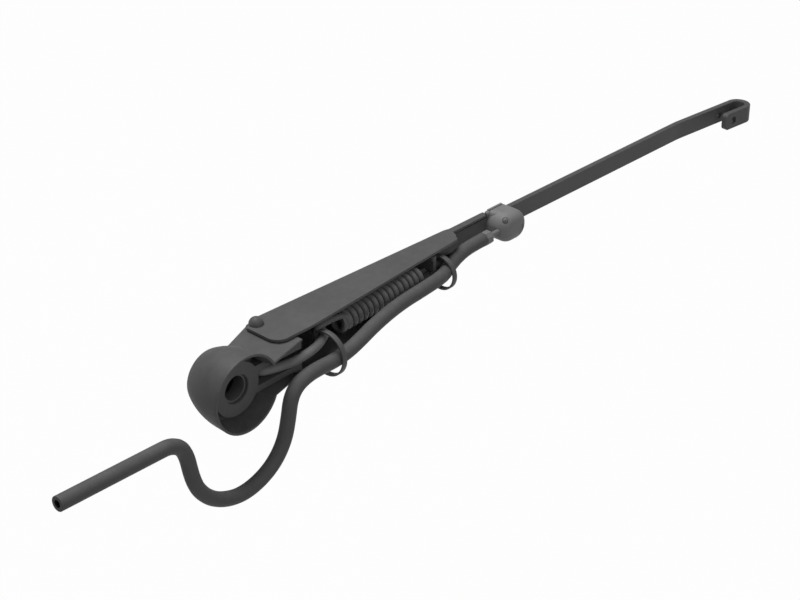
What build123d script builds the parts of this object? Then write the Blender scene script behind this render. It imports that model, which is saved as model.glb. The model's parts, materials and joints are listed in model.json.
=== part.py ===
from build123d import *
from math import atan2, cos, degrees, radians, sin, sqrt, tan
import os

os.makedirs("parts", exist_ok=True)

# Wiper arm in millimetres. The origin is the centre of the hub's glass-side face on the spindle's
# axis, +X runs along the arm to the hook, +Y points away from the glass, +Z is the pivot axis.

# Clearances
running_gap = 0.05
moving_gap = 0.3
fit_gap = 0.1

# Head: a die-cast cup round the spindle
cup_radius = 17.5
cup_draft = 0.3
cup_wall = 1.0
groove_draft = 1.6
cup_rim_y = -6.4
cup_shoulder_y = 0.0
groove_floor_y = 4.6
hub_radius = 12.06
hub_thickness = 8.0
sleeve_radius = 6.35
sleeve_recess = 1.6
spindle_radius = 5.4
sleeve_chamfer = 0.35
nut_pocket_radius = 10.4
cap_land_radius = 12.6
cap_land_y = 15.8

# Head: the forked neck that carries the pivot
pivot_x = 30.6
pivot_y = 20.1
neck_half_width = 8.2
neck_wall = 2.1
neck_lip = 1.0
neck_boss_radius = 4.7
neck_back_start = (5.0, 15.4)
neck_rim_x = 13.0
neck_end_x = 36.9
neck_end_y = -0.75
neck_end_top_y = 10.0
neck_bridge_x = 33.0
neck_fork_x = 26.0
back_web = 2.8
rib_inner_z = 3.4
rib_thickness = 2.9
rib_top_y = 9.0
rib_root_x = 9.0
trough_start_x = 12.6
neck_round = 0.4

# Nut cap
cap_skirt_wall = 1.3
cap_skirt_length = 6.0
cap_flange = 0.9
cap_dome_rise = 2.7
cap_flange_inset = 0.5

# Pivot: rivet, spacer tube and flanged bushes
rivet_radius = 2.0
rivet_head_radius = 3.3
rivet_head_height = 3.4
rivet_tail_radius = 3.0
rivet_tail_height = 1.3
tube_radius = 2.9
bush_radius = 3.7
bush_flange_radius = 4.5
bush_flange = 0.4

# Channel pressed from sheet, open towards the glass
sheet = 1.25
channel_half_width = 10.0
channel_taper_x = 33.5
channel_end_half_width = 6.85
channel_end_x = 154.0
narrow_start_x = 158.0
narrow_end_x = 181.4
web_start_x = 37.0
web_start_y = 25.5
web_end_y = 24.3
wall_shoulder = (25.7, 20.8)
wall_toe = (25.4, 1.95)
wall_knee = (46.0, 2.3)
wall_heel = (152.3, 12.95)
lower_toe = (25.4, -2.2)
lower_knee = (46.0, -0.6)
wall_notch = (152.9, 21.95)
narrow_edge_y = 21.5
toe_round = 6.0
knee_round = 60.0
shoulder_round = 1.0
heel_round = 2.2
notch_round = 1.0
bend_round = 1.55
plan_round = 6.0

# Hook strip of standard nine by three section
strip_width = 9.0
strip_thickness = 3.0
strip_start_x = 147.0
strip_base_y = 22.72
strip_slope = -0.0166
strip_bend_x = 334.0
strip_bend_radius = 70.0
tip_slope = -0.103
hook_centre_x = 378.1
hook_gap_radius = 3.4
hook_leg = 17.3
hook_hole_radius = 2.0
hook_hole_inset = 6.2
hook_corner_round = 2.3
strip_edge_round = 0.3

# Spring link: a round rod bent to a C with a hook at each end
link_pin_x = 19.5
link_pin_y = 6.2
link_pin_radius = 1.8
link_rod_radius = 2.0
link_bow_radius = 40.0
link_tip_turn = 215.0
link_hook_turn = 122.0

# Tension spring between the link and the tab in the channel
wire_radius = 1.4
coil_radius = 4.2
coil_pitch = 3.5
coil_turns = 15.5
spring_eye_x = 53.5
spring_lead = 3.0
spring_bend = 1.9
spring_hook_reach = 5.0

# Tab lanced from the web, which the spring's far hook pulls on
tab_face_x = 132.3
tab_low_z = -1.2
tab_high_z = 4.2
tab_reach_y = 9.8
anchor_y = 12.5

# Hose clips: open bands hooked through the lower channel wall
clip_width = 2.5
clip_thickness = 0.9
clip_slot_gap = 0.25
clip_tip_z = 3.2
clip_toe_reach = 1.8
inner_clip_x = 52.2
inner_clip_y = -0.1
inner_clip_z = -5.4
inner_clip_radius = 10.4
outer_clip_x = 138.7
outer_clip_y = 11.5
outer_clip_z = -4.8
outer_clip_radius = 8.4
outer_clip_tip_z = 2.6

# Washer hose: a bare rubber tube from its free end to the nozzle
hose_radius = 3.25
hose_bore_radius = 1.6
hose_route = [
    (-98.9, -8.6, -0.9),
    (-43.1, -8.6, -2.05),
    (-36.4, -8.6, -7.4),
    (-33.6, -8.6, -23.3),
    (-29.6, -8.6, -31.4),
    (-22.4, -8.6, -38.3),
    (-12.6, -8.6, -42.4),
    (-3.8, -8.6, -42.8),
    (5.4, -8.6, -40.1),
    (12.6, -8.6, -35.1),
    (17.5, -8.6, -27.9),
    (19.7, -8.6, -19.8),
    (21.6, -8.5, -10.4),
    (26.2, -7.9, -6.3),
    (33.0, -7.2, -5.0),
    (41.5, -6.5, -5.2),
    (50.0, -5.9, -6.1),
    (58.5, -5.6, -5.5),
    (67.5, -4.6, -3.8),
    (78.0, -2.4, -2.5),
    (90.5, -0.2, -1.6),
    (103.0, 1.5, -1.3),
    (114.5, 2.1, -1.1),
    (126.0, 3.3, -1.2),
    (135.5, 7.1, -3.2),
    (144.5, 10.1, -3.1),
    (153.0, 12.5, -1.3),
    (161.0, 13.0, -0.4),
    (171.3, 12.64, -0.04),
]
arc_share = 0.45

# Nozzle pod clipped on the strip, with its inlet and jet
strip_side_gap = 0.5
pod_start_x = 179.9
pod_end_x = 197.6
pod_low_z = -7.1
pod_top_z = 7.7
pod_front_y = 8.0
pod_split_y = 21.0
pod_corner = 7.0
pod_front_round = 5.0
pod_grip_gap = 0.05
pod_lip_start_x = 182.0
pod_lip_end_x = 192.0
pod_lip_width = 1.1
pod_lip_rise = 0.5
grip_inset = 4.3
grip_half_height = 6.0
grip_back_y = 24.9
grip_corner = 3.4
grip_round = 2.2
panel_depth = 0.5
panel_start_x = 190.2
panel_end_x = 193.6
panel_high_z = 1.0
panel_low_z = -5.0
jet_centre = Vector(183.43, 11.0, 4.95)
jet_direction = Vector(-0.65, -0.59, 0.48).normalized()
jet_ball_radius = 1.5
jet_socket_gap = 0.15
jet_bore_radius = 0.25
jet_recess_radius = 1.9
jet_recess_depth = 0.6
inlet_radius = 1.25
inlet_barb_radius = 1.55
inlet_barb_length = 5.0
inlet_socket_x = 183.6
ferrule_length = 2.1
ferrule_flats = 6.3
ferrule_sides = 8


def strip_y(x):
    """Glass-side face of the straight strip at a place along the arm."""
    return strip_base_y + strip_slope * x


def web_y(x):
    """Outer face of the channel's web at a place along the arm."""
    return web_start_y + (web_end_y - web_start_y) * (x - web_start_x) / (narrow_end_x - web_start_x)


def wall_z(x):
    """Outer face of the channel's upper wall at a place along the arm."""
    share = max(0.0, (x - channel_taper_x) / (channel_end_x - channel_taper_x))
    return channel_half_width + (channel_end_half_width - channel_half_width) * share


def finish(part, name):
    """Labels a piece and writes it."""
    part.label = name
    export_step(part, f"parts/{name}.step")


# Lines that several pieces share
pivot = (pivot_x, pivot_y)
anchor_x = tab_face_x + wire_radius + moving_gap
spring_line = Vector(anchor_x - link_pin_x, anchor_y - link_pin_y).normalized()
spring_eye_y = link_pin_y + (spring_eye_x - link_pin_x) * spring_line.Y / spring_line.X
coil_start_x = (spring_eye_x + anchor_x - coil_pitch * coil_turns * spring_line.X) / 2
coil_start_y = link_pin_y + (coil_start_x - link_pin_x) * spring_line.Y / spring_line.X
wall_inner_z = channel_half_width - sheet
narrow_half_width = strip_width / 2 + strip_side_gap + sheet

# The neck's back edge runs from the cup and touches the pivot boss
back_start = Vector(*neck_back_start)
to_pivot = Vector(*pivot) - back_start
back_angle = atan2(to_pivot.Y, to_pivot.X) + atan2(
    neck_boss_radius, sqrt(to_pivot.length**2 - neck_boss_radius**2)
)
back_touch = (pivot_x - neck_boss_radius * sin(back_angle), pivot_y + neck_boss_radius * cos(back_angle))
boss_side = (pivot_x + neck_boss_radius, pivot_y)
rib_outer_z = rib_inner_z + rib_thickness
slot_outer_z = neck_half_width - neck_wall
lip_inner_z = neck_half_width - neck_lip
boss_middle = (back_angle + radians(90)) / 2
below_head_y = 2 * cup_rim_y
above_head_y = 2 * pivot_y

with BuildPart() as arm_head:
    # The neck that rises from the cup to the pivot boss
    with BuildSketch(Plane.XY):
        with BuildLine():
            Line(neck_back_start, back_touch)
            ThreePointArc(
                back_touch,
                (
                    pivot_x + neck_boss_radius * cos(boss_middle),
                    pivot_y + neck_boss_radius * sin(boss_middle),
                ),
                boss_side,
            )
            Polyline(
                boss_side,
                (neck_end_x, neck_end_top_y),
                (neck_end_x, neck_end_y),
                (neck_rim_x, cup_rim_y),
                (neck_back_start[0], cup_rim_y),
                neck_back_start,
            )
        make_face()
    extrude(amount=neck_half_width, both=True)
    neck_sides = arm_head.faces().filter_by(Axis.Z).group_by(Axis.Z)
    fillet(neck_sides[0].edges() + neck_sides[-1].edges(), neck_round)
    # The cup as a filled turned form
    with BuildSketch(Plane.XY):
        with BuildLine():
            Polyline(
                (0, cap_land_y),
                (0, cup_rim_y),
                (cup_radius, cup_rim_y),
                (cup_radius - cup_draft, cup_shoulder_y),
            )
            TangentArc(
                (cup_radius - cup_draft, cup_shoulder_y),
                (cap_land_radius, cap_land_y),
                tangent=(-cup_draft, cup_shoulder_y - cup_rim_y),
            )
            Line((cap_land_radius, cap_land_y), (0, cap_land_y))
        make_face()
    revolve(axis=Axis.Y)
    # Seat for the nut cap, cut clear through the neck
    with BuildSketch(Plane.XZ.offset(-cap_land_y)):
        Circle(cap_land_radius)
    extrude(amount=-above_head_y, mode=Mode.SUBTRACT)
    # Nut pocket, spindle bore, annular groove and the recess in front of the hub
    with BuildSketch(Plane.XY):
        with BuildLine():
            Polyline(
                (0, above_head_y),
                (nut_pocket_radius, above_head_y),
                (nut_pocket_radius, hub_thickness),
                (sleeve_radius, hub_thickness),
                (sleeve_radius, sleeve_chamfer),
                (sleeve_radius + sleeve_chamfer, 0),
                (hub_radius, 0),
                (hub_radius, groove_floor_y),
                (cup_radius - cup_wall - groove_draft, groove_floor_y),
                (cup_radius - cup_wall, cup_rim_y),
                (cup_radius - cup_wall, below_head_y),
                (0, below_head_y),
                close=True,
            )
        make_face()
    revolve(axis=Axis.Y, mode=Mode.SUBTRACT)
    # Space between the ribs for the link, with the back web left standing
    back_slope = tan(back_angle)
    back_y = neck_back_start[1] - back_web / cos(back_angle)
    with BuildSketch(Plane.XY):
        with BuildLine():
            Polyline(
                (trough_start_x, below_head_y),
                (trough_start_x, back_y + back_slope * (trough_start_x - neck_back_start[0])),
                (neck_fork_x, back_y + back_slope * (neck_fork_x - neck_back_start[0])),
                (neck_fork_x, above_head_y),
                (2 * neck_end_x, above_head_y),
                (2 * neck_end_x, below_head_y),
                close=True,
            )
        make_face()
    extrude(amount=rib_inner_z, both=True, mode=Mode.SUBTRACT)
    # Slots between each rib and its side wall
    for side in (1, -1):
        with BuildSketch(Plane.XY.offset(side * rib_outer_z)):
            with BuildLine():
                Polyline(
                    (trough_start_x, below_head_y),
                    (trough_start_x, rib_top_y),
                    (neck_bridge_x, rib_top_y),
                    (neck_bridge_x, below_head_y),
                    close=True,
                )
            make_face()
        extrude(amount=side * (lip_inner_z - rib_outer_z), mode=Mode.SUBTRACT)
    # The fork is open above the ribs
    with BuildSketch(Plane.XY):
        with BuildLine():
            Polyline(
                (neck_fork_x, rib_top_y),
                (neck_fork_x, above_head_y),
                (2 * neck_end_x, above_head_y),
                (2 * neck_end_x, rib_top_y),
                close=True,
            )
        make_face()
    extrude(amount=slot_outer_z, both=True, mode=Mode.SUBTRACT)
    # The ribs end flush with the hub's face, behind the thin lip that carries on from the cup
    with BuildSketch(Plane.XY):
        with BuildLine():
            Polyline(
                (0, 0),
                (2 * neck_end_x, 0),
                (2 * neck_end_x, below_head_y),
                (0, below_head_y),
                close=True,
            )
        make_face()
    extrude(amount=lip_inner_z, both=True, mode=Mode.SUBTRACT)
    # The ribs carry on across the groove into the hub
    for side in (1, -1):
        with BuildSketch(Plane.XY.offset(side * rib_inner_z)):
            with Locations(((rib_root_x + neck_bridge_x) / 2, groove_floor_y / 2)):
                Rectangle(neck_bridge_x - rib_root_x, groove_floor_y)
        extrude(amount=side * rib_thickness)
    # Bores for the pivot bushes and the link pin
    with BuildSketch(Plane.XY):
        with Locations(pivot):
            Circle(bush_radius)
    extrude(amount=2 * neck_half_width, both=True, mode=Mode.SUBTRACT)
    with BuildSketch(Plane.XY):
        with Locations((link_pin_x, link_pin_y)):
            Circle(link_pin_radius)
    extrude(amount=rib_outer_z, both=True, mode=Mode.SUBTRACT)
finish(arm_head.part, "arm_head")

# Steel sleeve cast into the hub, set back from its face
with BuildPart() as spindle_sleeve:
    with BuildSketch(Plane.XZ.offset(-sleeve_recess)):
        Circle(sleeve_radius)
        Circle(spindle_radius, mode=Mode.SUBTRACT)
    extrude(amount=sleeve_recess - hub_thickness)
finish(spindle_sleeve.part, "spindle_sleeve")

# Cap over the spindle nut, pushed into the pocket
cap_radius = cap_land_radius - cap_flange_inset
cap_seat_y = cap_land_y + moving_gap
cap_top_y = cap_seat_y + cap_flange + cap_dome_rise
skirt_radius = nut_pocket_radius - moving_gap
with BuildPart() as nut_cap:
    with BuildSketch(Plane.XY):
        with BuildLine():
            Polyline(
                (0, cap_top_y),
                (0, cap_seat_y + cap_flange),
                (skirt_radius - cap_skirt_wall, cap_seat_y + cap_flange),
                (skirt_radius - cap_skirt_wall, cap_seat_y - cap_skirt_length),
                (skirt_radius, cap_seat_y - cap_skirt_length),
                (skirt_radius, cap_seat_y),
                (cap_radius, cap_seat_y),
                (cap_radius, cap_seat_y + cap_flange / 2),
            )
            TangentArc((0, cap_top_y), (cap_radius, cap_seat_y + cap_flange / 2), tangent=(1, 0))
        make_face()
    revolve(axis=Axis.Y)
finish(nut_cap.part, "nut_cap")

# Pin across the ribs that the link hooks on
with BuildPart() as link_pin:
    with BuildSketch(Plane.XY):
        with Locations((link_pin_x, link_pin_y)):
            Circle(link_pin_radius)
    extrude(amount=rib_outer_z, both=True)
    chamfer(link_pin.edges().filter_by(GeomType.CIRCLE), sleeve_chamfer)
finish(link_pin.part, "link_pin")

# Flanged bushes in the two neck walls
for side, name in ((1, "pivot_bush_upper"), (-1, "pivot_bush_lower")):
    with BuildPart() as pivot_bush:
        with BuildSketch(Plane.XY.offset(side * slot_outer_z)):
            with Locations(pivot):
                Circle(bush_radius)
        extrude(amount=side * neck_wall)
        with BuildSketch(Plane.XY.offset(side * neck_half_width)):
            with Locations(pivot):
                Circle(bush_flange_radius)
        extrude(amount=side * bush_flange)
        with BuildSketch(Plane.XY):
            with Locations(pivot):
                Circle(tube_radius + running_gap)
        extrude(amount=side * channel_half_width, mode=Mode.SUBTRACT)
    finish(pivot_bush.part, name)

# Spacer tube that the rivet clamps between the channel's walls
with BuildPart() as pivot_tube:
    with BuildSketch(Plane.XY):
        with Locations(pivot):
            Circle(tube_radius)
            Circle(rivet_radius + running_gap, mode=Mode.SUBTRACT)
    extrude(amount=wall_inner_z, both=True)
finish(pivot_tube.part, "pivot_tube")

# Rivet with a domed head above and a flatter formed head below
rivet_high_z = channel_half_width + rivet_head_height
rivet_low_z = -channel_half_width - rivet_tail_height
with BuildPart() as pivot_rivet:
    with BuildSketch(Plane((pivot_x, pivot_y, 0), x_dir=(1, 0, 0), z_dir=(0, -1, 0))):
        with BuildLine():
            TangentArc((0, rivet_low_z), (rivet_tail_radius, -channel_half_width), tangent=(1, 0))
            Polyline(
                (rivet_tail_radius, -channel_half_width),
                (rivet_radius, -channel_half_width),
                (rivet_radius, channel_half_width),
                (rivet_head_radius, channel_half_width),
            )
            TangentArc((0, rivet_high_z), (rivet_head_radius, channel_half_width), tangent=(1, 0))
            Line((0, rivet_low_z), (0, rivet_high_z))
        make_face()
    revolve(axis=Axis((pivot_x, pivot_y, 0), (0, 0, 1)))
finish(pivot_rivet.part, "pivot_rivet")


def clip_angle(centre_z, radius, z):
    """Angle of a point of a clip's band at a height, from +Y towards +Z."""
    return degrees(atan2(z - centre_z, sqrt(radius**2 - (z - centre_z) ** 2)))


def channel_section(inset):
    """Side outline below the web's face, set in by inset, running past both ends of the channel."""
    back = wall_toe[0] - channel_half_width
    reach = narrow_end_x + channel_half_width
    low = lower_toe[1] - channel_half_width
    return [(back, low), (back, web_y(back) - inset), (reach, web_y(reach) - inset), (reach, low)]


def channel_plan(inset):
    """Plan outline of the channel, the same on both sides, with the walls set in by inset."""
    back = wall_toe[0] - channel_half_width
    reach = narrow_end_x + channel_half_width
    half = [
        (back, channel_half_width - inset),
        (channel_taper_x, channel_half_width - inset),
        (channel_end_x, channel_end_half_width - inset),
        (narrow_start_x, narrow_half_width - inset),
        (reach, narrow_half_width - inset),
    ]
    return half + [(x, -z) for x, z in reversed(half)]


# Outside and inside of the channel at full length, with the bends between web and walls
channel_forms = []
for inset in (0, sheet):
    with BuildPart() as channel_form:
        with BuildSketch(Plane.XY):
            with BuildLine():
                Polyline(*channel_section(inset), close=True)
            make_face()
        extrude(amount=channel_half_width, both=True)
        with BuildSketch(Plane.XZ.offset(2 * web_start_y)) as plan:
            with BuildLine():
                Polyline(*channel_plan(inset), close=True)
            make_face()
            for x in (channel_end_x, narrow_start_x):
                corners = plan.vertices().filter_by_position(Axis.X, x - fit_gap, x + fit_gap)
                fillet(corners, plan_round)
        extrude(amount=-4 * web_start_y, mode=Mode.INTERSECT)
        bends = channel_form.edges().filter_by(lambda edge: edge.center().Y > narrow_edge_y)
        fillet(bends.filter_by(lambda edge: abs(edge.center().Z) > rib_inner_z), bend_round - inset)
    channel_forms.append(channel_form.part)

# Side outlines of the two walls: the lower one reaches further towards the glass, behind the hose
with BuildPart() as channel_sides:
    for toe, knee, way in ((wall_toe, wall_knee, 1), (lower_toe, lower_knee, -1)):
        with BuildSketch(Plane.XY) as side:
            with BuildLine():
                Polyline(
                    (web_start_x, web_y(web_start_x)),
                    (web_start_x, 2 * web_start_y),
                    (narrow_end_x, 2 * web_start_y),
                    (narrow_end_x, narrow_edge_y),
                    wall_notch,
                    wall_heel,
                    knee,
                    toe,
                    wall_shoulder,
                    close=True,
                )
            make_face()
            for corner, size in (
                (toe, toe_round),
                (knee, knee_round),
                (wall_shoulder, shoulder_round),
                (wall_heel, heel_round),
                (wall_notch, notch_round),
            ):
                fillet(side.vertices().sort_by_distance(corner)[0], size)
        extrude(amount=way * 2 * channel_half_width)

with BuildPart() as arm_channel:
    add(channel_forms[0])
    add(channel_sides.part, mode=Mode.INTERSECT)
    add(channel_forms[1], mode=Mode.SUBTRACT)
    # Tab bent down from the web, and the window that it leaves
    tab_length = web_y(tab_face_x) - sheet - tab_reach_y
    tab_middle_z = (tab_low_z + tab_high_z) / 2
    with BuildSketch(Plane.YZ.offset(tab_face_x)):
        with Locations((web_y(tab_face_x) - sheet / 2 - tab_length / 2, tab_middle_z)):
            Rectangle(tab_length + sheet, tab_high_z - tab_low_z)
    extrude(amount=-sheet)
    with BuildSketch(Plane.XZ.offset(-web_start_y)):
        with Locations((tab_face_x + tab_length / 2, tab_middle_z)):
            Rectangle(tab_length, tab_high_z - tab_low_z)
    extrude(amount=3 * sheet, both=True, mode=Mode.SUBTRACT)
    # Rivet holes and the slots that the hose clips hook through
    with BuildSketch(Plane.XY):
        with Locations(pivot):
            Circle(rivet_radius)
    extrude(amount=2 * channel_half_width, both=True, mode=Mode.SUBTRACT)
    for x, y, z, radius in (
        (inner_clip_x, inner_clip_y, inner_clip_z, inner_clip_radius),
        (outer_clip_x, outer_clip_y, outer_clip_z, outer_clip_radius),
    ):
        outside = -wall_z(x) - z
        inside = outside + sheet
        low = y + sqrt((radius - clip_thickness) ** 2 - outside**2) - clip_slot_gap
        high = y + sqrt(radius**2 - inside**2) + clip_slot_gap
        with BuildSketch(Plane.XY.offset(-wall_inner_z / 2)):
            with Locations((x, (low + high) / 2)):
                Rectangle(clip_width + 2 * clip_slot_gap, high - low)
        extrude(amount=-2 * channel_half_width, mode=Mode.SUBTRACT)
finish(arm_channel.part, "arm_channel")

# Hook strip, swept along its middle line
tip_angle = degrees(atan2(tip_slope, 1))
middle_y = strip_thickness / 2
bend_y = strip_y(strip_bend_x) + middle_y
hook_radius = hook_gap_radius + strip_thickness / 2
hook_start = (hook_centre_x, bend_y + tip_slope * (hook_centre_x - strip_bend_x))
with BuildPart() as hook_strip:
    with BuildLine() as strip_line:
        FilletPolyline(
            (strip_start_x, strip_y(strip_start_x) + middle_y),
            (strip_bend_x, bend_y),
            hook_start,
            radius=strip_bend_radius,
        )
        hook_bend = JernArc(hook_start, (1, tip_slope), hook_radius, -180)
        Line(hook_bend @ 1, hook_bend @ 1 + hook_leg * (hook_bend % 1))
    with BuildSketch(Plane(strip_line.line @ 0, x_dir=(0, 0, 1), z_dir=strip_line.line % 0)):
        RectangleRounded(strip_width, strip_thickness, strip_edge_round)
    sweep()
    leg_way = Vector(-1, -tip_slope).normalized()
    hole_place = hook_bend @ 1 + (hook_leg - hook_hole_inset) * leg_way
    leg_normal = Vector(-tip_slope, 1).normalized()
    with BuildSketch(Plane(hole_place, x_dir=(0, 0, 1), z_dir=leg_normal)):
        Circle(hook_hole_radius)
    extrude(amount=3 * hook_radius, both=True, mode=Mode.SUBTRACT)
    # Rounded corners of the free end, cut with the outline of the leg
    corner_plane = Plane(
        hook_bend @ 1 + (hook_leg - hook_corner_round / 2) * leg_way, x_dir=leg_way, z_dir=leg_normal
    )
    with BuildSketch(corner_plane):
        Rectangle(hook_corner_round, strip_width + fit_gap)
        with Locations((-hook_corner_round / 2, 0)):
            Rectangle(2 * hook_corner_round, strip_width - 2 * hook_corner_round, mode=Mode.SUBTRACT)
        with Locations(
            (-hook_corner_round / 2, strip_width / 2 - hook_corner_round),
            (-hook_corner_round / 2, hook_corner_round - strip_width / 2),
        ):
            Circle(hook_corner_round, mode=Mode.SUBTRACT)
    extrude(amount=strip_thickness, both=True, mode=Mode.SUBTRACT)
finish(hook_strip.part, "hook_strip")

# Link rod: two hook arcs joined by one long bow that touches both
pin_hook_radius = link_pin_radius + moving_gap + link_rod_radius
eye_hook_radius = wire_radius + moving_gap + link_rod_radius
link_pin_centre = Vector(link_pin_x, link_pin_y)
spring_eye = Vector(spring_eye_x, spring_eye_y)
span = spring_eye - link_pin_centre
pin_arm = link_bow_radius - pin_hook_radius
eye_arm = link_bow_radius - eye_hook_radius
along = (pin_arm**2 - eye_arm**2 + span.length**2) / (2 * span.length)
aside = sqrt(pin_arm**2 - along**2)
span_way = span.normalized()
bow_centre = link_pin_centre + along * span_way + aside * Vector(-span_way.Y, span_way.X)
pin_way = (link_pin_centre - bow_centre).normalized()
eye_way = (spring_eye - bow_centre).normalized()
pin_angle = degrees(atan2(pin_way.Y, pin_way.X))
eye_angle = degrees(atan2(eye_way.Y, eye_way.X))
with BuildPart() as spring_link:
    with BuildLine() as link_line:
        CenterArc(link_pin_centre, pin_hook_radius, pin_angle - link_tip_turn, link_tip_turn)
        CenterArc(bow_centre, link_bow_radius, pin_angle, eye_angle - pin_angle)
        CenterArc(spring_eye, eye_hook_radius, eye_angle, link_hook_turn)
    with BuildSketch(Plane(link_line.line @ 0, z_dir=link_line.line % 0)):
        Circle(link_rod_radius)
    sweep()
finish(spring_link.part, "spring_link")

# Tension spring: a close coil with a long hook at each end
coil_way = Vector(spring_line.X, spring_line.Y, 0)
coil_axis = Axis((coil_start_x, coil_start_y, 0), coil_way)
with BuildPart() as tension_spring:
    with BuildLine():
        free_coil = Helix(
            coil_pitch,
            coil_pitch * coil_turns,
            coil_radius,
            center=coil_axis.position,
            direction=coil_way,
            mode=Mode.PRIVATE,
        )
        start_turn = (free_coil @ 0 - coil_axis.position).get_signed_angle(Vector(0, 0, 1), coil_way)
        coil = free_coil.rotate(coil_axis, start_turn)
        add(coil)
    with BuildSketch(Plane(coil @ 0, z_dir=coil % 0)):
        Circle(wire_radius)
    sweep(path=coil, is_frenet=True)
    for end, outward, eye, rise in (
        (0, -1, (spring_eye_x, spring_eye_y), coil_radius),
        (1, 1, (anchor_x, anchor_y), -coil_radius),
    ):
        root = coil @ end
        way = outward * (coil % end)
        with BuildLine() as hook_line:
            FilletPolyline(
                root,
                root + spring_lead * way,
                (*eye, rise),
                (*eye, -spring_hook_reach if rise > 0 else spring_hook_reach),
                radius=spring_bend,
            )
        with BuildSketch(Plane(root, z_dir=way)):
            Circle(wire_radius)
        sweep(path=hook_line.line)
finish(tension_spring.part, "tension_spring")

# Hose clips
for name, x, y, z, radius, tip_z in (
    ("hose_clip_inner", inner_clip_x, inner_clip_y, inner_clip_z, inner_clip_radius, clip_tip_z),
    ("hose_clip_outer", outer_clip_x, outer_clip_y, outer_clip_z, outer_clip_radius, outer_clip_tip_z),
):
    start = clip_angle(z, radius, tip_z)
    stop = 360 + clip_angle(z, radius, clip_toe_reach + sheet - wall_z(x))
    inner_radius = radius - clip_thickness
    with BuildPart() as hose_clip:
        with BuildSketch(Plane.YZ.offset(x - clip_width / 2)):
            with BuildLine():
                outer = CenterArc((y, z), radius, start, stop - start)
                inner = CenterArc((y, z), inner_radius, start, stop - start)
                Line(outer @ 0, inner @ 0)
                Line(outer @ 1, inner @ 1)
            make_face()
        extrude(amount=clip_width)
    finish(hose_clip.part, name)


def bend_radii(route):
    """Largest bend at each inner point that leaves room for its neighbours on both runs."""
    points = [Vector(*point) for point in route]
    radii = []
    for before, here, after in zip(points, points[1:], points[2:]):
        turn = radians((here - before).get_angle(after - here))
        shorter = min((here - before).length, (after - here).length)
        radii.append(arc_share * shorter / tan(turn / 2))
    return radii


# Washer hose
hose_radii = bend_radii(hose_route)
with BuildPart() as washer_hose:
    with BuildLine():
        hose_path = FilletPolyline(*hose_route, radius=hose_radii)
    with BuildSketch(Plane(hose_path @ 0, z_dir=hose_path % 0)):
        Circle(hose_radius)
        Circle(hose_bore_radius, mode=Mode.SUBTRACT)
    sweep()
finish(washer_hose.part, "washer_hose")
hose_section = radians(180) * (hose_radius**2 - hose_bore_radius**2)
print("hose radii", [round(radius, 1) for radius in hose_radii])
print("hose length", round(hose_path.length, 1), "volume", round(washer_hose.part.volume, 1))
print("section times length", round(hose_section * hose_path.length, 1))

# The nozzle's inlet leaves the pod along the hose's last run
hose_end = hose_path @ 1
inlet_way = hose_path % 1
inlet_length = (inlet_socket_x - hose_end.X) / inlet_way.X
inlet_plane = Plane(hose_end, z_dir=inlet_way)
with BuildPart() as nozzle_inlet:
    with BuildSketch(inlet_plane.offset(running_gap)):
        Circle(inlet_radius)
    extrude(amount=inlet_length)
    with BuildSketch(inlet_plane.offset(running_gap)):
        Circle(inlet_barb_radius)
    extrude(amount=-inlet_barb_length)
    with BuildSketch(inlet_plane.offset(-2 * inlet_barb_length)):
        Circle(inlet_barb_radius / 2)
    extrude(amount=2 * inlet_barb_length + inlet_length, mode=Mode.SUBTRACT)
finish(nozzle_inlet.part, "nozzle_inlet")

# Eight-sided ferrule on the inlet, against the hose's end
with BuildPart() as hose_ferrule:
    with BuildSketch(inlet_plane.offset(running_gap)):
        RegularPolygon(ferrule_flats / 2, ferrule_sides, major_radius=False)
        Circle(inlet_radius + running_gap, mode=Mode.SUBTRACT)
    extrude(amount=ferrule_length)
finish(hose_ferrule.part, "hose_ferrule")

# Nozzle pod in front of the strip, and the clip that grips the strip from behind
pod_x = (pod_start_x + pod_end_x) / 2
pod_z = (pod_low_z + pod_top_z) / 2
pod_length = pod_end_x - pod_start_x
pod_height = pod_top_z - pod_low_z
jet_mouth = Plane(jet_centre + (jet_ball_radius - jet_recess_depth) * jet_direction, z_dir=jet_direction)
strip_slot = [(x, strip_y(x) - pod_grip_gap) for x in (0, hook_centre_x)]
strip_slot += [(x, strip_y(x) + strip_thickness + pod_grip_gap) for x in (hook_centre_x, 0)]
with BuildPart() as nozzle_body:
    with BuildSketch(Plane.XZ.offset(-pod_split_y)):
        with Locations((pod_x, pod_z)):
            RectangleRounded(pod_length, pod_height, pod_corner)
    extrude(amount=pod_split_y - pod_front_y)
    fillet(nozzle_body.faces().sort_by(Axis.Y)[0].edges(), pod_front_round)
    # Lip along the top, a shallow panel in front, the jet's socket and the inlet's seat
    with BuildSketch(Plane.XY.offset(pod_z)):
        with Locations(((pod_lip_start_x + pod_lip_end_x) / 2, pod_split_y - pod_lip_width / 2)):
            Rectangle(pod_lip_end_x - pod_lip_start_x, pod_lip_width)
    extrude(amount=pod_height / 2 + pod_lip_rise)
    with BuildSketch(Plane.XZ.offset(-pod_front_y)):
        with Locations(((panel_start_x + panel_end_x) / 2, (panel_low_z + panel_high_z) / 2)):
            Rectangle(panel_end_x - panel_start_x, panel_high_z - panel_low_z)
    extrude(amount=-panel_depth, mode=Mode.SUBTRACT)
    with Locations(jet_centre):
        Sphere(jet_ball_radius + jet_socket_gap, mode=Mode.SUBTRACT)
    with BuildSketch(jet_mouth):
        Circle(jet_recess_radius)
    extrude(amount=pod_height, mode=Mode.SUBTRACT)
    with BuildSketch(inlet_plane):
        Circle(inlet_radius)
    extrude(amount=inlet_length + running_gap, mode=Mode.SUBTRACT)
    with BuildSketch(Plane.XY):
        with BuildLine():
            Polyline(*strip_slot, close=True)
        make_face()
    extrude(amount=strip_width / 2 + pod_grip_gap, both=True, mode=Mode.SUBTRACT)
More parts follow.
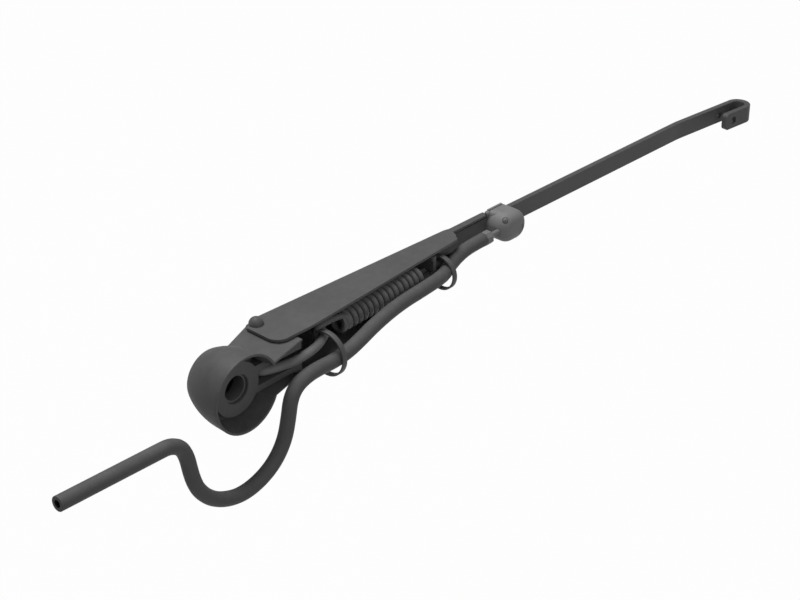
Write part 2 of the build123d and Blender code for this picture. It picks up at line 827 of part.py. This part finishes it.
finish(nozzle_body.part, "nozzle_body")
with BuildPart() as nozzle_clip:
    with BuildSketch(Plane.XZ.offset(-pod_split_y)):
        with Locations((pod_x, 0)):
            RectangleRounded(pod_length - 2 * grip_inset, 2 * grip_half_height, grip_corner)
    extrude(amount=pod_split_y - grip_back_y)
    fillet(nozzle_clip.faces().sort_by(Axis.Y)[-1].edges(), grip_round)
    with BuildSketch(Plane.XY):
        with BuildLine():
            Polyline(*strip_slot, close=True)
        make_face()
    extrude(amount=strip_width / 2 + pod_grip_gap, both=True, mode=Mode.SUBTRACT)
finish(nozzle_clip.part, "nozzle_clip")

# Jet ball, turned in its socket to aim the spray
with BuildPart() as jet_ball:
    with Locations(jet_centre):
        Sphere(jet_ball_radius)
    with BuildSketch(Plane(jet_centre, z_dir=jet_direction)):
        Circle(jet_bore_radius)
    extrude(amount=2 * jet_ball_radius, both=True, mode=Mode.SUBTRACT)
finish(jet_ball.part, "jet_ball")
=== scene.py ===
import json
from math import cos, radians

import bmesh
import bpy
from mathutils import Matrix, Vector


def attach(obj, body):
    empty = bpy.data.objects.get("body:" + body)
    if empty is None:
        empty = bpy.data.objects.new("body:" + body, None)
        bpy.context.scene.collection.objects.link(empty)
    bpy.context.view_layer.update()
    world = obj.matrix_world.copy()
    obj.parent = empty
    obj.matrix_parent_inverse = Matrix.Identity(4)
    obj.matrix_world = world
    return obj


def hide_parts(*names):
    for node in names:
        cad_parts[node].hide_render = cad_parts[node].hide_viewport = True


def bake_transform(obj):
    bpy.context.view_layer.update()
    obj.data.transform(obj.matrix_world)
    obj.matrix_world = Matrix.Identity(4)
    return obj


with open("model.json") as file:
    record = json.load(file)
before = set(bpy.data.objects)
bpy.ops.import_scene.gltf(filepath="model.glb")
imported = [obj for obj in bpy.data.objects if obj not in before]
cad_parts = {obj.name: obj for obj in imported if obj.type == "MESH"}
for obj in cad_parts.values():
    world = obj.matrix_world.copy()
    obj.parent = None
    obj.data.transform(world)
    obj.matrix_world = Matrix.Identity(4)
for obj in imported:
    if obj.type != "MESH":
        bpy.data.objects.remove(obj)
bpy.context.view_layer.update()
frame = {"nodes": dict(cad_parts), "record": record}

MM = 0.001
SAME_PLACE = 0.002 * MM
parts = frame["nodes"]

# Camera at the photograph's viewing angle, for an 800 by 600 image
image_width = 800
half_pixel = 0.5 / image_width
camera_elevation = 28.669
camera_azimuth = -47.871
camera_data = bpy.data.cameras.new("arm_camera")
camera_data.lens = 85.0
camera_data.sensor_width = 36.0
camera_data.sensor_fit = "HORIZONTAL"
camera_data.shift_x = -half_pixel
camera_data.shift_y = half_pixel
camera_data.clip_start = 0.01
camera_data.clip_end = 20.0
camera = bpy.data.objects.new("arm_camera", camera_data)
camera.location = (-0.438293, -0.485219, 0.396613)
camera.rotation_euler = (radians(90 - camera_elevation), 0, radians(camera_azimuth))
bpy.context.collection.objects.link(camera)
bpy.context.scene.camera = camera
bpy.context.scene.view_settings.view_transform = "Standard"


# Shader helpers
def effect(name, inputs, outputs):
    """An empty shader group with its named sockets, and its two end nodes."""
    group = bpy.data.node_groups.new(name, "ShaderNodeTree")
    for label, kind, value in inputs:
        socket = group.interface.new_socket(label, in_out="INPUT", socket_type=kind)
        socket.default_value = value
    for label, kind in outputs:
        group.interface.new_socket(label, in_out="OUTPUT", socket_type=kind)
    return group, group.nodes.new("NodeGroupInput"), group.nodes.new("NodeGroupOutput")


def feed(group, socket, source):
    """Gives an input socket a number or a link from another socket."""
    if isinstance(source, (int, float)):
        socket.default_value = source
    else:
        group.links.new(source, socket)


def noise(group, where, scale, detail, roughness=0.55):
    """A noise texture in a group; scale is a number or a socket."""
    node = group.nodes.new("ShaderNodeTexNoise")
    node.inputs["Detail"].default_value = detail
    node.inputs["Roughness"].default_value = roughness
    feed(group, node.inputs["Scale"], scale)
    group.links.new(where, node.inputs["Vector"])
    return node.outputs["Fac"]


def spread(group, value, low=0.0, high=1.0, to_low=0.0, to_high=1.0):
    """A map range node from low..high to to_low..to_high; each end is a number or a socket."""
    node = group.nodes.new("ShaderNodeMapRange")
    group.links.new(value, node.inputs["Value"])
    feed(group, node.inputs["From Min"], low)
    feed(group, node.inputs["From Max"], high)
    feed(group, node.inputs["To Min"], to_low)
    feed(group, node.inputs["To Max"], to_high)
    return node.outputs["Result"]


def arithmetic(group, operation, first, second):
    """A math node; each side is a number or a socket."""
    node = group.nodes.new("ShaderNodeMath")
    node.operation = operation
    feed(group, node.inputs[0], first)
    feed(group, node.inputs[1], second)
    return node.outputs[0]


def blend_colour(group, factor, first, second, mode="MIX"):
    """A colour mix node; the factor is a number or a socket, each side a colour or a socket."""
    node = group.nodes.new("ShaderNodeMix")
    node.data_type = "RGBA"
    node.blend_type = mode
    factor_in, first_in, second_in = node.inputs[0], node.inputs[6], node.inputs[7]
    feed(group, factor_in, factor)
    for socket, side in ((first_in, first), (second_in, second)):
        if isinstance(side, tuple):
            socket.default_value = side
        else:
            group.links.new(side, socket)
    return node.outputs[2]


def grey_of(level):
    """An opaque neutral grey."""
    return (level, level, level, 1)


FLOAT = "NodeSocketFloat"
COLOUR = "NodeSocketColor"
PLAIN_GREY = grey_of(0.1)
RUBBED_GREY = grey_of(0.2)
DUST_COLOUR = (0.24, 0.235, 0.225, 1)

# Coat grain: the fine orange peel of a baked coat, or the spark texture of a moulded face
ripple_share = 0.7
coat_grain, grain_in, grain_out = effect(
    "coat_grain", [("Grain", FLOAT, 1800.0), ("Ripple", FLOAT, 300.0)], [("Height", FLOAT)]
)
place = coat_grain.nodes.new("ShaderNodeTexCoord").outputs["Object"]
fine = noise(coat_grain, place, grain_in.outputs["Grain"], detail=3.0)
broad = noise(coat_grain, place, grain_in.outputs["Ripple"], detail=2.0)
peel = arithmetic(coat_grain, "MULTIPLY", broad, ripple_share)
height = arithmetic(coat_grain, "ADD", fine, peel)
coat_grain.links.new(height, grain_out.inputs["Height"])

# Handled tone: slow changes of shade and gloss over a surface that is touched and washed
handled_tone, tone_in, tone_out = effect(
    "handled_tone",
    [
        ("Colour", COLOUR, PLAIN_GREY),
        ("Change", FLOAT, 0.12),
        ("Patch", FLOAT, 60.0),
        ("Gloss low", FLOAT, 0.45),
        ("Gloss high", FLOAT, 0.6),
    ],
    [("Colour", COLOUR), ("Roughness", FLOAT)],
)
place = handled_tone.nodes.new("ShaderNodeTexCoord").outputs["Object"]
patches = noise(handled_tone, place, tone_in.outputs["Patch"], detail=5.0, roughness=0.6)
even = spread(handled_tone, patches, low=0.3, high=0.7)
lowest = arithmetic(handled_tone, "SUBTRACT", 1.0, tone_in.outputs["Change"])
highest = arithmetic(handled_tone, "ADD", 1.0, tone_in.outputs["Change"])
shade = spread(handled_tone, even, to_low=lowest, to_high=highest)
grey = handled_tone.nodes.new("ShaderNodeCombineColor")
for socket in grey.inputs:
    handled_tone.links.new(shade, socket)
toned = blend_colour(
    handled_tone, 1.0, tone_in.outputs["Colour"], grey.outputs["Color"], "MULTIPLY"
)
handled_tone.links.new(toned, tone_out.inputs["Colour"])
gloss = spread(
    handled_tone,
    even,
    to_low=tone_in.outputs["Gloss low"],
    to_high=tone_in.outputs["Gloss high"],
)
handled_tone.links.new(gloss, tone_out.inputs["Roughness"])

# Settled dust: a thin film on faces that look up, broken by rain
settled_dust, dust_in, dust_out = effect(
    "settled_dust",
    [("Colour", COLOUR, PLAIN_GREY), ("Film", FLOAT, 0.2), ("Spots", FLOAT, 240.0)],
    [("Colour", COLOUR)],
)
where = settled_dust.nodes.new("ShaderNodeTexCoord")
faces = settled_dust.nodes.new("ShaderNodeSeparateXYZ")
settled_dust.links.new(where.outputs["Normal"], faces.inputs[0])
facing_up = spread(settled_dust, faces.outputs["Z"], low=0.2, high=0.95)
spotted = noise(
    settled_dust, where.outputs["Object"], dust_in.outputs["Spots"], detail=6.0, roughness=0.65
)
broken = spread(settled_dust, spotted, low=0.42, high=0.68)
film = arithmetic(settled_dust, "MULTIPLY", facing_up, broken)
film = arithmetic(settled_dust, "MULTIPLY", film, dust_in.outputs["Film"])
dusted = blend_colour(settled_dust, film, dust_in.outputs["Colour"], DUST_COLOUR)
settled_dust.links.new(dusted, dust_out.inputs["Colour"])

# Fine scuffs: short rubbed lines along the arm, in scattered zones
fine_scuffs, scuff_in, scuff_out = effect(
    "fine_scuffs",
    [("Colour", COLOUR, PLAIN_GREY), ("Amount", FLOAT, 0.3), ("Rubbed", COLOUR, RUBBED_GREY)],
    [("Colour", COLOUR)],
)
where = fine_scuffs.nodes.new("ShaderNodeTexCoord")
stretch = fine_scuffs.nodes.new("ShaderNodeMapping")
stretch.inputs["Rotation"].default_value = (radians(4), radians(-7), radians(9))
stretch.inputs["Scale"].default_value = (45, 900, 900)
fine_scuffs.links.new(where.outputs["Object"], stretch.inputs["Vector"])
lines = noise(fine_scuffs, stretch.outputs["Vector"], scale=1.0, detail=2.0)
thin = spread(fine_scuffs, lines, low=0.66, high=0.74)
scattered = noise(fine_scuffs, where.outputs["Object"], scale=70.0, detail=3.0)
zones = spread(fine_scuffs, scattered, low=0.5, high=0.66)
mask = arithmetic(fine_scuffs, "MULTIPLY", thin, zones)
mask = arithmetic(fine_scuffs, "MULTIPLY", mask, scuff_in.outputs["Amount"])
rubbed = blend_colour(fine_scuffs, mask, scuff_in.outputs["Colour"], scuff_in.outputs["Rubbed"])
fine_scuffs.links.new(rubbed, scuff_out.inputs["Colour"])


def finish_material(
    name,
    level,
    *,
    change,
    patch,
    gloss,
    grain,
    ripple,
    relief,
    dust=0.0,
    scuffs=0.0,
    rubbed=0.2,
    specular=0.25,
):
    """One finish: a toned grey, scuffed and dusted, with its own gloss and grain (relief in mm)."""
    material = bpy.data.materials.new(name)
    material.use_nodes = True
    tree = material.node_tree
    principled = tree.nodes["Principled BSDF"]
    principled.inputs["Specular IOR Level"].default_value = specular

    def placed(group, **values):
        node = tree.nodes.new("ShaderNodeGroup")
        node.node_tree = group
        for label, value in values.items():
            node.inputs[label.replace("_", " ")].default_value = value
        return node

    tone = placed(
        handled_tone,
        Colour=grey_of(level),
        Change=change,
        Patch=patch,
        Gloss_low=gloss[0],
        Gloss_high=gloss[1],
    )
    last = tone.outputs["Colour"]
    if scuffs:
        worn = placed(fine_scuffs, Amount=scuffs, Rubbed=grey_of(rubbed))
        tree.links.new(last, worn.inputs["Colour"])
        last = worn.outputs["Colour"]
    if dust:
        dusty = placed(settled_dust, Film=dust)
        tree.links.new(last, dusty.inputs["Colour"])
        last = dusty.outputs["Colour"]
    tree.links.new(last, principled.inputs["Base Color"])
    tree.links.new(tone.outputs["Roughness"], principled.inputs["Roughness"])
    skin = placed(coat_grain, Grain=grain, Ripple=ripple)
    bump = tree.nodes.new("ShaderNodeBump")
    bump.inputs["Strength"].default_value = 1.0
    bump.inputs["Distance"].default_value = relief * MM
    tree.links.new(skin.outputs["Height"], bump.inputs["Height"])
    tree.links.new(bump.outputs["Normal"], principled.inputs["Normal"])
    return material


finishes = {
    "head_coat": finish_material(
        "cast_head_coat", 0.104, change=0.12, patch=55.0, gloss=(0.5, 0.64),
        grain=900.0, ripple=170.0, relief=0.06, dust=0.1,
    ),
    "arm_coat": finish_material(
        "pressed_arm_coat", 0.107, change=0.08, patch=35.0, gloss=(0.46, 0.58),
        grain=1700.0, ripple=260.0, relief=0.02, dust=0.1, scuffs=0.25, rubbed=0.19,
    ),
    "strip_coat": finish_material(
        "strip_coat", 0.1, change=0.08, patch=40.0, gloss=(0.46, 0.58),
        grain=1700.0, ripple=260.0, relief=0.02, dust=0.1, scuffs=0.3, rubbed=0.19,
    ),
    "rod_coat": finish_material(
        "link_rod_coat", 0.2, change=0.12, patch=90.0, gloss=(0.45, 0.6),
        grain=1500.0, ripple=400.0, relief=0.02, scuffs=0.3,
    ),
    "spring_coat": finish_material(
        "spring_coat", 0.15, change=0.15, patch=120.0, gloss=(0.4, 0.55),
        grain=1500.0, ripple=500.0, relief=0.02,
    ),
    "sleeve_steel": finish_material(
        "sleeve_steel", 0.12, change=0.12, patch=120.0, gloss=(0.4, 0.55),
        grain=2600.0, ripple=700.0, relief=0.01, specular=0.3,
    ),
    "pin_steel": finish_material(
        "pin_steel", 0.12, change=0.12, patch=160.0, gloss=(0.35, 0.5),
        grain=2600.0, ripple=700.0, relief=0.01, scuffs=0.3,
    ),
    "rivet_coat": finish_material(
        "rivet_coat", 0.11, change=0.12, patch=140.0, gloss=(0.42, 0.56),
        grain=1800.0, ripple=500.0, relief=0.02, dust=0.1,
    ),
    "bush_polymer": finish_material(
        "bush_polymer", 0.09, change=0.1, patch=150.0, gloss=(0.5, 0.62),
        grain=2400.0, ripple=600.0, relief=0.02,
    ),
    "cap_plastic": finish_material(
        "cap_plastic", 0.085, change=0.1, patch=70.0, gloss=(0.42, 0.55),
        grain=1500.0, ripple=240.0, relief=0.03, dust=0.1,
    ),
    "clip_plastic": finish_material(
        "clip_plastic", 0.11, change=0.1, patch=120.0, gloss=(0.45, 0.58),
        grain=1600.0, ripple=380.0, relief=0.02, dust=0.08,
    ),
    "hose_rubber": finish_material(
        "hose_rubber", 0.106, change=0.1, patch=45.0, gloss=(0.6, 0.74),
        grain=1100.0, ripple=220.0, relief=0.02, dust=0.14,
    ),
    # Near-black finish for the inside of the hose: painted shade standing in for the depth of the
    # bore
    "hose_bore": finish_material(
        "hose_bore", 0.02, change=0.15, patch=90.0, gloss=(0.7, 0.8),
        grain=1100.0, ripple=220.0, relief=0.02, specular=0.1,
    ),
    "ferrule_metal": finish_material(
        "ferrule_metal", 0.21, change=0.12, patch=220.0, gloss=(0.4, 0.55),
        grain=2200.0, ripple=700.0, relief=0.02,
    ),
    "inlet_plastic": finish_material(
        "inlet_plastic", 0.2, change=0.1, patch=200.0, gloss=(0.45, 0.58),
        grain=1800.0, ripple=600.0, relief=0.02,
    ),
    "pod_plastic": finish_material(
        "pod_plastic", 0.232, change=0.08, patch=110.0, gloss=(0.45, 0.58),
        grain=1700.0, ripple=420.0, relief=0.03, dust=0.08,
    ),
    "jet_metal": finish_material(
        "jet_metal", 0.19, change=0.12, patch=300.0, gloss=(0.5, 0.62),
        grain=2600.0, ripple=900.0, relief=0.01,
    ),
}

slots = {piece["node"]: piece["material_slot"] for piece in frame["record"]["subparts"]}
for name, part in parts.items():
    for holder in part.material_slots:
        holder.material = finishes[slots[name]]


# Modelling helpers
def add_bevel(piece, name, width, angle):
    """A two-step bevel, width in mm, on the edges sharper than an angle in degrees."""
    edge = piece.modifiers.new(name, "BEVEL")
    edge.width = width * MM
    edge.segments = 2
    edge.limit_method = "ANGLE"
    edge.angle_limit = radians(angle)


def soften(name, width):
    """Breaks the sharp edges of a rigid part, as tumbling and coating leave them."""
    part = parts[name]
    weld = part.modifiers.new("weld", "WELD")
    weld.merge_threshold = SAME_PLACE
    flats = part.modifiers.new("flats", "DECIMATE")
    flats.decimate_type = "DISSOLVE"
    flats.angle_limit = radians(0.6)
    add_bevel(part, "broken_edge", width, angle=38)


def tube(name, points, radius, steps_along, steps_round, capped):
    """A round tube along a smooth line guided by points, in mm, as a curve object."""
    line = bpy.data.curves.new(name, "CURVE")
    line.dimensions = "3D"
    run = line.splines.new("NURBS")
    run.points.add(len(points) - 1)
    for point, (x, y, z) in zip(run.points, points):
        point.co = (x * MM, y * MM, z * MM, 1)
    run.order_u = 3
    run.use_endpoint_u = True
    run.resolution_u = steps_along
    line.bevel_depth = radius * MM
    line.bevel_resolution = steps_round
    line.use_fill_caps = capped
    piece = bpy.data.objects.new(name, line)
    bpy.context.collection.objects.link(piece)
    return piece


def select_only(piece):
    """Leaves one piece selected and active."""
    bpy.ops.object.select_all(action="DESELECT")
    piece.select_set(True)
    bpy.context.view_layer.objects.active = piece


def edit_vertices(piece, chosen):
    """Selects, in edit mode, the vertices of a piece whose place in mm passes a test."""
    bpy.ops.mesh.select_mode(type="VERT")
    bpy.ops.mesh.select_all(action="DESELECT")
    mesh = bmesh.from_edit_mesh(piece.data)
    for vert in mesh.verts:
        vert.select = chosen(vert.co / MM)
    mesh.select_flush(True)
    bmesh.update_edit_mesh(piece.data)


def face_outwards():
    """Turns all faces of the piece in edit mode outwards and leaves edit mode."""
    bpy.ops.mesh.select_all(action="SELECT")
    bpy.ops.mesh.normals_make_consistent(inside=False)
    bpy.ops.object.mode_set(mode="OBJECT")


def block(name, low, high):
    """A block between two corners in mm, placed in its mesh and left in edit mode."""
    bpy.ops.object.select_all(action="DESELECT")
    bpy.ops.mesh.primitive_cube_add(size=1, location=(0, 0, 0))
    piece = bpy.context.object
    piece.name = name
    low, high = Vector(low) * MM, Vector(high) * MM
    piece.data.transform(Matrix.LocRotScale((low + high) / 2, None, high - low))
    bpy.ops.object.mode_set(mode="EDIT")
    return piece


def finish_piece(piece, slot, smooth_angle):
    """Leaves edit mode, smooths edges under an angle and gives a piece of the arm its finish."""
    face_outwards()
    bpy.ops.object.shade_smooth_by_angle(angle=radians(smooth_angle))
    piece.data.materials.append(finishes[slot])
    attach(piece, "arm")


# Washer hose: one rubber tube from the nozzle's inlet to its bare end
hose_points = [
    (169.6, 12.7, -0.1), (161.0, 13.0, -0.4), (153.0, 12.7, -1.3), (144.8, 11.2, -3.0),
    (135.5, 7.1, -3.2), (126.0, 3.3, -1.2), (114.5, 2.1, -1.1), (103.0, 1.5, -1.3),
    (90.5, -0.2, -1.6), (78.0, -2.4, -2.5), (67.5, -4.6, -3.8), (58.5, -5.6, -5.5),
    (50.0, -5.9, -6.1), (41.5, -6.5, -5.2), (33.0, -7.2, -5.0), (26.2, -7.9, -6.3),
    (21.6, -8.5, -10.4), (19.7, -8.6, -19.8), (17.5, -8.6, -27.9), (12.6, -8.6, -35.1),
    (5.4, -8.6, -40.1), (-3.8, -8.6, -42.8), (-12.6, -8.6, -42.4), (-22.4, -8.6, -38.3),
    (-29.6, -8.6, -31.4), (-33.6, -8.6, -23.3), (-36.4, -8.6, -7.4), (-43.1, -8.6, -2.05),
    (-51.7, -8.6, -1.87), (-98.9, -8.6, -0.9),
]
hose_outer = 3.25
hose_bore = 1.6
hose = tube("rubber_hose", hose_points, hose_outer, steps_along=8, steps_round=7, capped=False)
wall = hose.modifiers.new("wall", "SOLIDIFY")
wall.thickness = (hose_outer - hose_bore) * MM
wall.offset = -1
# The inner shell of the wall takes the near-black second finish, painted shade inside the bore
wall.material_offset = 1
add_bevel(hose, "cut_end", width=0.25, angle=50)
hose.data.materials.append(finishes["hose_rubber"])
hose.data.materials.append(finishes["hose_bore"])
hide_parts("washer_hose")
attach(hose, "arm")

# Ferrule: an eight-sided collar with bevelled rims, between the hose's end and the nozzle
ferrule_start = Vector((169.7, 12.69, -0.1)) * MM
ferrule_end = Vector((173.5, 12.58, 0.03)) * MM
ferrule_way = ferrule_end - ferrule_start
ferrule_sides = 8
half_side = radians(180 / ferrule_sides)
ferrule_inradius = 3.2
ferrule_bore = 1.4
bpy.ops.object.select_all(action="DESELECT")
bpy.ops.mesh.primitive_cylinder_add(
    vertices=ferrule_sides,
    radius=ferrule_inradius / cos(half_side) * MM,
    depth=ferrule_way.length,
    end_fill_type="NGON",
)
collar = bpy.context.object
collar.name = "octagon_ferrule"
bpy.ops.object.mode_set(mode="EDIT")
bpy.ops.mesh.select_mode(type="FACE")
bpy.ops.mesh.select_all(action="DESELECT")
ends = bmesh.from_edit_mesh(collar.data)
for face in ends.faces:
    face.select = abs(face.normal.z) > 0.9
bmesh.update_edit_mesh(collar.data)
bpy.ops.mesh.inset(thickness=(ferrule_inradius - ferrule_bore) * MM)
bpy.ops.mesh.bridge_edge_loops()
face_outwards()
turned = ferrule_way.to_track_quat("Z", "Y").to_matrix().to_4x4()
middle = Matrix.Translation((ferrule_start + ferrule_end) / 2)
collar.data.transform(middle @ turned @ Matrix.Rotation(half_side, 4, "Z"))
add_bevel(collar, "rim", width=0.25, angle=30)
collar.data.materials.append(finishes["ferrule_metal"])
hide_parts("hose_ferrule")
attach(collar, "arm")

# Pod's shoulder: its upper corner by the channel, tight at the back and leaning in at the front
shoulder_lean = 2.6
shoulder_drop = 0.75
shoulder_round = 2.0
pod_smooth = 16
shoulder = block("pod_shoulder", (181.2, 13.6, 3.0), (188.0, 20.0, 7.7))
edit_vertices(shoulder, lambda at: at.x < 182 and at.y < 14)
bpy.ops.transform.translate(value=(shoulder_lean * MM, 0, 0))
edit_vertices(shoulder, lambda at: at.x < 184 and at.y < 14 and at.z > 7)
bpy.ops.transform.translate(value=(0, 0, -shoulder_drop * MM))
edit_vertices(shoulder, lambda at: at.x < 184 and at.z > 6)
bpy.ops.mesh.bevel(offset=shoulder_round * MM, segments=6, affect="EDGES")
finish_piece(shoulder, "pod_plastic", pod_smooth)

# Free end of the pod's lip, a thin tongue over the end of the channel's wall
tongue_tip_round = 0.25
tongue_front_round = 0.8
tongue = block("pod_lip_end", (180.05, 19.2, 6.45), (184.5, 20.95, 7.7))
edit_vertices(tongue, lambda at: at.x < 181)
bpy.ops.mesh.bevel(offset=tongue_tip_round * MM, segments=3, affect="EDGES")
edit_vertices(tongue, lambda at: at.y < 19.5 and at.z > 7)
bpy.ops.mesh.bevel(offset=tongue_front_round * MM, segments=4, affect="EDGES")
finish_piece(tongue, "pod_plastic", pod_smooth)

# Front edges of the channel's narrow walls, each with the gusset that joins it to the wide wall
lip_start, lip_end = 152.2, 181.2
lip_front, lip_middle, lip_back = 19.95, 21.0, 22.2
gusset_cuts = (154.0, 156.3, 158.0)
gusset_steps = ((lip_start, 5.0, 0.6), (154.0, 4.0, 0.6), (156.3, 0.0, 0.25))
lip_round = 0.2
lip_smooth = 12
for name, low_z, high_z, out in (
    ("narrow_edge_upper", 4.98, 6.24, 1),
    ("narrow_edge_lower", -6.24, -4.98, -1),
):
    lip = block(name, (lip_start, lip_front, low_z), (lip_end, lip_back, high_z))
    for x in gusset_cuts:
        bpy.ops.mesh.select_all(action="SELECT")
        bpy.ops.mesh.bisect(plane_co=(x * MM, 0, 0), plane_no=(1, 0, 0))
    for x, forward, rise in gusset_steps:
        edit_vertices(lip, lambda at: abs(at.x - x) < 0.1)
        bpy.ops.transform.translate(value=(0, 0, out * rise * MM))
        edit_vertices(lip, lambda at: abs(at.x - x) < 0.1 and at.y < lip_middle)
        bpy.ops.transform.translate(value=(0, -forward * MM, 0))
    edit_vertices(lip, lambda at: at.y < lip_middle)
    bpy.ops.mesh.bevel(offset=lip_round * MM, segments=2, affect="EDGES")
    finish_piece(lip, "arm_coat", lip_smooth)

# Tension spring: a copy of the coil, cut where its first hook is drawn anew
coil_start = 66.7
coil = bpy.data.objects.new("coil_spring", parts["tension_spring"].data.copy())
bpy.context.collection.objects.link(coil)
select_only(coil)
bpy.ops.object.mode_set(mode="EDIT")
bpy.ops.mesh.select_all(action="SELECT")
bpy.ops.mesh.remove_doubles(threshold=SAME_PLACE)
bpy.ops.mesh.select_all(action="SELECT")
bpy.ops.mesh.bisect(
    plane_co=(coil_start * MM, 0, 0), plane_no=(1, 0, 0), use_fill=True, clear_inner=True
)
face_outwards()
bpy.ops.object.shade_smooth_by_angle(angle=radians(35))
coil.data.materials.clear()
coil.data.materials.append(finishes["spring_coat"])
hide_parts("tension_spring")
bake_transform(coil)

# Hook of the spring: the wire leaves the first turn in an open arch and drops into the link's eye
hook_points = [
    (69.8, 4.87, -2.2), (69.85, 4.77, 0.5), (69.5, 5.1, 2.6), (67.6, 5.8, 3.95),
    (64.6, 6.7, 4.0), (60.6, 7.5, 3.6), (57.0, 8.0, 2.9), (54.2, 8.1, 2.3),
    (53.5, 8.07, 0.4), (53.5, 8.07, -4.8),
]
wire_radius = 1.4
spring_hook = tube(
    "spring_hook", hook_points, wire_radius, steps_along=6, steps_round=5, capped=True
)
select_only(spring_hook)
bpy.ops.object.convert(target="MESH")
spring_hook = bpy.context.object
bpy.ops.object.mode_set(mode="EDIT")
bpy.ops.mesh.select_all(action="SELECT")
bpy.ops.mesh.remove_doubles(threshold=SAME_PLACE)
face_outwards()
bpy.ops.object.shade_smooth_by_angle(angle=radians(50))
spring_hook.data.materials.append(finishes["spring_coat"])
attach(spring_hook, "link")

# Broken edges of the rigid parts, widths in mm
for name, width in (
    ("arm_head", 0.2),
    ("arm_channel", 0.16),
    ("nozzle_body", 0.15),
    ("nozzle_clip", 0.15),
    ("hose_clip_inner", 0.15),
    ("hose_clip_outer", 0.15),
    ("nozzle_inlet", 0.1),
    ("link_pin", 0.15),
    ("spindle_sleeve", 0.15),
):
    soften(name, width)

# Pale floor that shows white to the camera and keeps a faint shadow
backdrop_white = 0.98
bpy.ops.object.select_all(action="DESELECT")
bpy.ops.mesh.primitive_plane_add(size=12, location=(0, 0, 0))
floor = bpy.context.object
floor.name = "pale_floor"
floor.data.transform(Matrix.Translation((0.1, 0, -0.16)))
paper = bpy.data.materials.new("pale_paper")
paper.use_nodes = True
tree = paper.node_tree
tree.nodes.clear()
matt = tree.nodes.new("ShaderNodeBsdfDiffuse")
matt.inputs["Color"].default_value = grey_of(0.3)
white = tree.nodes.new("ShaderNodeEmission")
white.inputs["Color"].default_value = grey_of(1)
white.inputs["Strength"].default_value = 1.0
rays = tree.nodes.new("ShaderNodeLightPath")
seen = arithmetic(
    tree, "MAXIMUM", rays.outputs["Is Camera Ray"], rays.outputs["Is Glossy Ray"]
)
seen = arithmetic(tree, "MULTIPLY", seen, backdrop_white)
mixed = tree.nodes.new("ShaderNodeMixShader")
tree.links.new(seen, mixed.inputs[0])
tree.links.new(matt.outputs[0], mixed.inputs[1])
tree.links.new(white.outputs[0], mixed.inputs[2])
surface = tree.nodes.new("ShaderNodeOutputMaterial")
tree.links.new(mixed.outputs[0], surface.inputs["Surface"])
floor.data.materials.append(paper)

# Even studio light from all round, white where the camera looks past the floor
studio_light = 0.18
world = bpy.data.worlds.new("studio")
bpy.context.scene.world = world
world.use_nodes = True
tree = world.node_tree
backdrop = tree.nodes["Background"]
backdrop.inputs["Color"].default_value = grey_of(1)
seen = tree.nodes.new("ShaderNodeLightPath").outputs["Is Camera Ray"]
strength = spread(tree, seen, to_low=studio_light, to_high=backdrop_white)
tree.links.new(strength, backdrop.inputs["Strength"])


def area_lamp(name, size, power, place, tilt, turn):
    """A round area lamp; tilt is about x and turn about z, in degrees."""
    data = bpy.data.lights.new(name, "AREA")
    data.shape = "DISK"
    data.size = size
    data.energy = power
    lamp = bpy.data.objects.new(name, data)
    lamp.location = place
    lamp.rotation_euler = (radians(tilt), 0, radians(turn))
    bpy.context.collection.objects.link(lamp)


# One broad lamp overhead, and a soft one right of the camera to reach into the channel and cup
area_lamp("overhead", size=1.2, power=20.5, place=(0.05, 0.45, 1.5), tilt=-16, turn=0)
area_lamp("front_fill", size=0.6, power=1.5, place=(-0.1, -0.82, 0.4), tilt=64, turn=-14)
